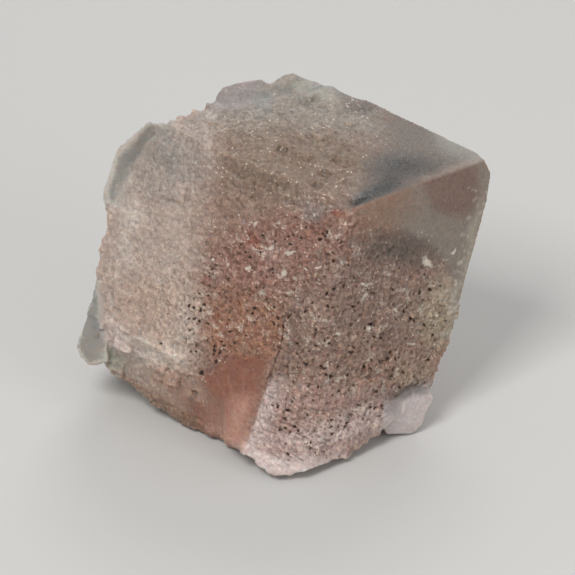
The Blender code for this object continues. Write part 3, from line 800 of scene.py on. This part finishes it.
hidden = cluster.vertex_groups.new(name="hidden")
thinness = 1.0 - seen
for level in range(1, LEVELS + 1):
    chosen = np.flatnonzero((thinness > (level - 0.5) / LEVELS) & (thinness <= (level + 0.5) / LEVELS))
    hidden.add(chosen.tolist(), level / LEVELS, "REPLACE")
thin = cluster.modifiers.new("thin the back", "DECIMATE")
thin.ratio = min(1.0, SKIN_LIMIT / (2.0 * len(cluster.data.polygons)))
thin.vertex_group = "hidden"
thin.vertex_group_factor = 2.0
apply_modifiers(cluster)
cluster.vertex_groups.clear()
cluster.data.calc_loop_triangles()
print("skin:", len(cluster.data.loop_triangles), "triangles")

# %% [markdown]
# ## The stone material
#
# One Principled shader makes the whole stone. Its base colour is the painted tint with speckle on top. Light
# sinks in a little (subsurface), which gives the milky look, and the clear tips let light through. The
# roughness and a fine bump come from the same speckle, so colour and gloss belong together.


# %% Small helpers for building nodes
stone = bpy.data.materials.new("pink_fluorite_stone")
stone.use_nodes = True
tree = stone.node_tree
surface = tree.nodes["Principled BSDF"]


def feed(socket, value):
    """Link an output to a socket, or set a plain number."""
    if isinstance(value, bpy.types.NodeSocket):
        tree.links.new(value, socket)
    else:
        socket.default_value = value


def node(kind, **inputs):
    """A new node with these sockets fed."""
    made = tree.nodes.new("ShaderNode" + kind)
    for name, value in inputs.items():
        feed(made.inputs[name], value)
    return made


def attribute(name, output="Fac"):
    """One of the mesh's named attributes."""
    made = node("Attribute")
    made.attribute_name = name
    return made.outputs[output]


def maths(operation, *values, clamp=False):
    made = node("Math")
    made.operation = operation
    made.use_clamp = clamp
    for socket, value in zip(made.inputs, values):
        feed(socket, value)
    return made.outputs[0]


def ramp(value, start, end, low=0.0, high=1.0):
    """Change smoothly from low to high while the value goes from start to end."""
    made = node("MapRange")
    made.interpolation_type = "SMOOTHSTEP"
    for socket, number in zip(made.inputs, (value, start, end, low, high)):
        feed(socket, number)
    return made.outputs[0]


def mix_colour(share, below, above):
    """That share of one colour over another. A Mix node has its colours at inputs 6 and 7 and output 2."""
    made = node("Mix")
    made.data_type = "RGBA"
    feed(made.inputs["Factor"], share)
    for socket, value in zip((made.inputs[6], made.inputs[7]), (below, above)):
        feed(socket, value)
    return made.outputs[2]


print("helpers ready")

# %% Speckle in millimetres, and crumbs along the cube edges
where = node("TexCoord")


def in_millimetres(turn):
    """Object coordinates, turned, and with one unit for a millimetre."""
    made = node("Mapping", Vector=where.outputs["Object"], Rotation=turn, Scale=(1.0 / MM, 1.0 / MM, 1.0 / MM))
    return made.outputs[0]


edges_in_world = Matrix((CUBE_EDGES @ np.stack((ACROSS, UP, OUT))).tolist())
in_mm = in_millimetres((0.0, 0.0, 0.0))
along_cube = in_millimetres(edges_in_world.to_quaternion().to_euler())


def speckle(per_mm, detail=3.0, coarse=0.5):
    """Cloudy noise, so many lumps in a millimetre."""
    return node("TexNoise", Vector=in_mm, Scale=per_mm, Detail=detail, Roughness=coarse).outputs["Fac"]


def crumbs(per_mm):
    """Tiny blocks along the cube edges, each with a random colour: that colour, and its three parts."""
    made = node("TexVoronoi", Vector=along_cube, Scale=per_mm, Randomness=0.85)
    made.distance = "CHEBYCHEV"
    return made.outputs["Color"], node("SeparateColor", Color=made.outputs["Color"]).outputs


grain = attribute("grain")
lacy = attribute("lacy")
patchy = speckle(0.8, 4.0)
sugary = speckle(3.4, 6.0, 0.68)
dusty = speckle(9.0, 3.0, 0.6)
crumb_colour, crumb = crumbs(4.2)
small_crumb_colour, small_crumb = crumbs(9.0)
print("speckle nodes:", len(tree.nodes))

# %% [markdown]
# Near its foot the front is finely hatched, all one way. Noise turns into hatching when the place it reads is
# squeezed one way and stretched the other.

# %% Hatching
HATCH_TURN = math.radians(-30.0)
HATCH_ALONG, HATCH_ACROSS = 1.1, 5.5


def distance_along(direction, per_mm):
    """How far along a direction a place lies, in lines."""
    made = node("VectorMath")
    made.operation = "DOT_PRODUCT"
    feed(made.inputs[0], in_mm)
    feed(made.inputs[1], direction * per_mm)
    return made.outputs["Value"]


squeezed = node("CombineXYZ")
feed(squeezed.inputs[0], distance_along(math.cos(HATCH_TURN) * ACROSS + math.sin(HATCH_TURN) * UP, HATCH_ALONG))
feed(squeezed.inputs[1], distance_along(math.cos(HATCH_TURN) * UP - math.sin(HATCH_TURN) * ACROSS, HATCH_ACROSS))
hatching = node("TexNoise", Vector=squeezed.outputs[0], Scale=1.0, Detail=3.0)
hatch = maths("MULTIPLY", maths("SUBTRACT", hatching.outputs["Fac"], 0.5), attribute("hatched"))
print("hatching at", HATCH_ACROSS, "lines in a millimetre")

# %% [markdown]
# The etched lace has two sizes. The coarse ridges were raised in the mesh and come in as an attribute. A finer
# lace sits on them, too small for the mesh: Voronoi noise gives the distance to the nearest cell wall, and the
# places it reads are first bent by noise, so that the walls are not straight.

# %% Fine lace
def vector_maths(operation, *values):
    """One step of arithmetic on vectors."""
    made = node("VectorMath")
    made.operation = operation
    for socket, value in zip(made.inputs, values):
        feed(socket, value)
    return made.outputs[0]


bender = node("TexNoise", Vector=in_mm, Scale=3.6, Detail=3.0)
bent = vector_maths("MULTIPLY_ADD", bender.outputs["Color"], (0.5, 0.5, 0.5), in_mm)
walls = node("TexVoronoi", Vector=bent, Scale=3.8)
walls.feature = "DISTANCE_TO_EDGE"
fine_ridge = ramp(walls.outputs["Distance"], 0.16, 0.0)
coarse_ridge = ramp(attribute("ridge"), 0.45, 0.95)
ridge = maths("ADD", maths("MULTIPLY", coarse_ridge, 0.6), maths("MULTIPLY", fine_ridge, 0.55), clamp=True)
ridge = maths("MULTIPLY", ridge, maths("MULTIPLY", lacy, ramp(sugary, 0.35, 0.62)))
hollow_shade = maths("MULTIPLY", ramp(attribute("ridge"), 0.45, 0.05), maths("MULTIPLY", lacy, ramp(sugary, 0.62, 0.4)))
print("lace nodes:", len(tree.nodes))

# %% [markdown]
# Colour is built up in the order a stone gets its marks. Speckle changes the tint's lightness, richness and hue a
# little. Hollows get painted shade and ridges are paler. Bruises, crumbs that catch the light as painted glints,
# and flecks are mixed in white, and the seam and the pits come last, in brown and nearly black.

# %% Colour: tint and speckle
def varied(base, number, strength):
    """The base, moved up and down as the number strays from a half."""
    return maths("MULTIPLY_ADD", maths("SUBTRACT", number, 0.5), strength, base)


lightness = 1.0
for number, strength in ((sugary, 0.6), (dusty, 0.45), (patchy, 0.4), (crumb[0], 0.3), (small_crumb[0], 0.34)):
    lightness = varied(lightness, number, strength)
lightness = maths("MULTIPLY_ADD", hatch, 1.6, lightness)
lightness = maths("MULTIPLY_ADD", maths("SUBTRACT", lightness, 1.0), maths("MULTIPLY_ADD", grain, 1.1, -0.1), 1.0)
richness = varied(1.02, speckle(1.6, 4.0), 0.35)
hue = varied(0.5, speckle(2.2, 3.0), 0.025)
hue = varied(hue, crumb[0], 0.01)
hue = varied(hue, sugary, 0.05)
tinted = node("HueSaturation", Hue=hue, Saturation=richness, Value=lightness, Color=attribute("tint", "Color"))
speckled = tinted.outputs[0]
print("nodes so far:", len(tree.nodes))


# %% Colour: painted shade in hollows, ridges, bruises and flecks
CRUMB_WHITE = (0.64, 0.58, 0.49, 1.0)


def toned(colour, saturation, value):
    """A colour made richer or duller, and lighter or darker."""
    return node("HueSaturation", Saturation=saturation, Value=value, Color=colour).outputs[0]


# Painted shade: the hollows are darkened and made richer.
stone_colour = mix_colour(maths("MULTIPLY", hollow_shade, 0.5), speckled, toned(speckled, 1.25, 0.65))
stone_colour = mix_colour(maths("MULTIPLY", ridge, 0.5), stone_colour, toned(speckled, 0.8, 1.6))
bruised = ramp(speckle(1.3, 9.0, 0.8), 0.52, 0.6)
bruised = maths("MULTIPLY", bruised, maths("MULTIPLY", lacy, ramp(speckle(0.5, 2.0), 0.42, 0.6)))
# Painted glints: a few crumbs are mixed in white as if they caught the light; bruises and flecks join them.
bright = maths("MULTIPLY", ramp(small_crumb[1], 0.96, 0.98), ramp(patchy, 0.4, 0.6, 0.1, 0.9))
bright = maths("MAXIMUM", bright, maths("MULTIPLY", bruised, ramp(dusty, 0.3, 0.6)))
bright = maths("MULTIPLY", bright, ramp(grain, 0.35, 0.9))
silky = maths("MULTIPLY", ramp(speckle(8.0, 4.0, 0.8), 0.5, 0.72), attribute("silk"))
bright = maths("MAXIMUM", bright, maths("MULTIPLY", silky, 0.4))
crusted = maths("MULTIPLY_ADD", maths("SUBTRACT", sugary, 0.5), 1.8, attribute("flecked"))
crusted = varied(crusted, dusty, 1.2)
bright = maths("MAXIMUM", bright, maths("MULTIPLY", ramp(crusted, 0.55, 0.8), attribute("flecked")))
stone_colour = mix_colour(maths("MULTIPLY", bright, 0.75), stone_colour, CRUMB_WHITE)
print("nodes so far:", len(tree.nodes))

# %% Colour: seam and pits
CRACK_BROWN = (0.04, 0.024, 0.017, 1.0)
PIT_RIM_BROWN = (0.15, 0.07, 0.035, 1.0)
PIT_BLACK = (0.022, 0.01, 0.006, 1.0)

wobble = maths("MULTIPLY", maths("SUBTRACT", speckle(7.0, 2.0), 0.5), 0.2)
seam_gap = maths("ADD", maths("ABSOLUTE", attribute("seam_gap")), attribute("seam_end"))
seam_dark = ramp(maths("ADD", seam_gap, wobble), 0.06, 0.02)
stone_colour = mix_colour(maths("MULTIPLY", seam_dark, 0.85), stone_colour, CRACK_BROWN)
pit_gap = maths("ADD", attribute("pit_gap"), wobble)
stone_colour = mix_colour(maths("MULTIPLY", ramp(pit_gap, 0.1, 0.0), 0.6), stone_colour, PIT_RIM_BROWN)
stone_colour = mix_colour(ramp(pit_gap, 0.035, -0.02), stone_colour, PIT_BLACK)
feed(surface.inputs["Base Color"], stone_colour)
print("colour nodes:", len(tree.nodes))

# %% [markdown]
# Broken crumbs shine unevenly, so the gloss follows the same speckle, and the clear tips are glossier. The bump
# holds only what is too fine for the mesh.

# %% Gloss and bump
gloss = maths("MULTIPLY_ADD", crumb[2], 0.3, ramp(sugary, 0.3, 0.7, 0.18, 0.42))
gloss = maths("MULTIPLY", gloss, ramp(attribute("clear"), 0.3, 0.7, 1.0, 0.4))
feed(surface.inputs["Roughness"], gloss)
height = maths("ADD", maths("MULTIPLY", sugary, 1.0), maths("MULTIPLY", dusty, 0.5))
height = maths("ADD", maths("MULTIPLY", height, grain), maths("MULTIPLY", ridge, 0.7))
height = maths("MULTIPLY_ADD", hatch, 1.5, height)
# Each crumb faces its own way, so that some catch the light.
tilt = vector_maths("ADD", crumb_colour, small_crumb_colour)
tilt = vector_maths("SUBTRACT", tilt, (1.0, 1.0, 1.0))
spread = node("VectorMath")
spread.operation = "SCALE"
feed(spread.inputs[0], tilt)
feed(spread.inputs["Scale"], maths("MULTIPLY", grain, 0.16))
tilted = vector_maths("ADD", node("NewGeometry").outputs["Normal"], spread.outputs[0])
tilted = vector_maths("NORMALIZE", tilted)
bump = node("Bump", Strength=0.55, Distance=0.1 * MM, Height=height, Normal=tilted)
feed(surface.inputs["Normal"], bump.outputs[0])
print("nodes so far:", len(tree.nodes))

# %% [markdown]
# Fluorite bends light less than glass does, with an index of 1.434. Milky stone is made by subsurface scattering,
# red light going furthest. The clear tips transmit, and a volume absorbs a little of what passes, green and blue
# more than red, so thick places are darker and warmer than thin ones.

# %% Milkiness and clearness
FLUORITE_IOR = 1.434
ABSORBED_PER_METRE = 160.0

surface.inputs["IOR"].default_value = FLUORITE_IOR
surface.inputs["Subsurface Weight"].default_value = 0.7
surface.inputs["Subsurface Radius"].default_value = (1.0, 0.6, 0.45)
surface.inputs["Subsurface Scale"].default_value = 1.0 * MM
feed(surface.inputs["Transmission Weight"], attribute("clear"))
inside = node("VolumeAbsorption", Color=(0.80, 0.74, 0.70, 1.0), Density=ABSORBED_PER_METRE)
feed(tree.nodes["Material Output"].inputs["Volume"], inside.outputs[0])
cluster.data.materials.clear()
cluster.data.materials.append(stone)
print("stone material:", len(tree.nodes), "nodes")

# %% [markdown]
# ## Shading
#
# The rough front looks right when neighbouring triangles blend, but the ridge must stay crisp. Marking edges
# above an angle as sharp does both.

# %% Shade smooth with sharp ridges
cluster.data.polygons.foreach_set("use_smooth", [True] * len(cluster.data.polygons))
cluster.data.set_sharp_from_angle(angle=math.radians(40.0))
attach(cluster, "root")
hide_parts("fluorite_crystals")
print("cluster rides on root")

# %% [markdown]
# ## Floor, lights and camera
#
# A pale matt floor, one big soft lamp high on the left, weaker ones on the right and behind, and an even sky. The
# camera is far away with a long lens, looking down by 30 degrees, which keeps the crystal's edges nearly parallel.

# %% Floor
floor_shape = bmesh.new()
bmesh.ops.create_grid(floor_shape, x_segments=1, y_segments=1, size=1.5)
floor_mesh = bpy.data.meshes.new("floor")
floor_shape.to_mesh(floor_mesh)
floor_shape.free()
floor = placed("floor", floor_mesh)
floor_paint = bpy.data.materials.new("pale_floor")
floor_paint.use_nodes = True
floor_paint.node_tree.nodes["Principled BSDF"].inputs["Base Color"].default_value = (0.5, 0.49, 0.47, 1.0)
floor_paint.node_tree.nodes["Principled BSDF"].inputs["Roughness"].default_value = 0.9
floor_mesh.materials.append(floor_paint)
print("floor laid")

# %% Lights
TARGET = world_place(-0.14, -0.805, -8.0)


def add_lamp(name, where, size, power):
    """A square lamp that looks at the stone: place and size in metres, power in watts."""
    lamp = bpy.data.lights.new(name, "AREA")
    lamp.size = size
    lamp.energy = power
    held = placed(name, lamp)
    held.location = TARGET + Vector(where)
    held.rotation_euler = (TARGET - held.location).to_track_quat("-Z", "Y").to_euler()


add_lamp("key", (-0.12, -0.22, 0.30), 0.14, 1.08)
add_lamp("fill", (0.26, -0.26, 0.14), 0.25, 0.5)
add_lamp("back", (0.05, 0.28, 0.24), 0.2, 0.45)
sky = bpy.data.worlds.new("soft_sky")
sky.use_nodes = True
sky.node_tree.nodes["Background"].inputs["Color"].default_value = (0.95, 0.97, 1.0, 1.0)
sky.node_tree.nodes["Background"].inputs["Strength"].default_value = 0.5
bpy.context.scene.world = sky
bpy.context.scene.view_settings.view_transform = "Standard"
print("three lamps and a sky")

# %% Camera
FRAME_WIDTH = 40.25 * MM
LENS = 500.0
SENSOR = 36.0

lens = bpy.data.cameras.new("camera")
lens.lens = LENS
lens.sensor_width = SENSOR
lens.clip_start = 0.01
camera = placed("camera", lens)
camera.location = TARGET + Vector(OUT) * (FRAME_WIDTH * LENS / SENSOR)
camera.rotation_euler = (TARGET - camera.location).to_track_quat("-Z", "Y").to_euler()
bpy.context.scene.camera = camera
print("camera", round((camera.location - TARGET).length, 3), "m away")
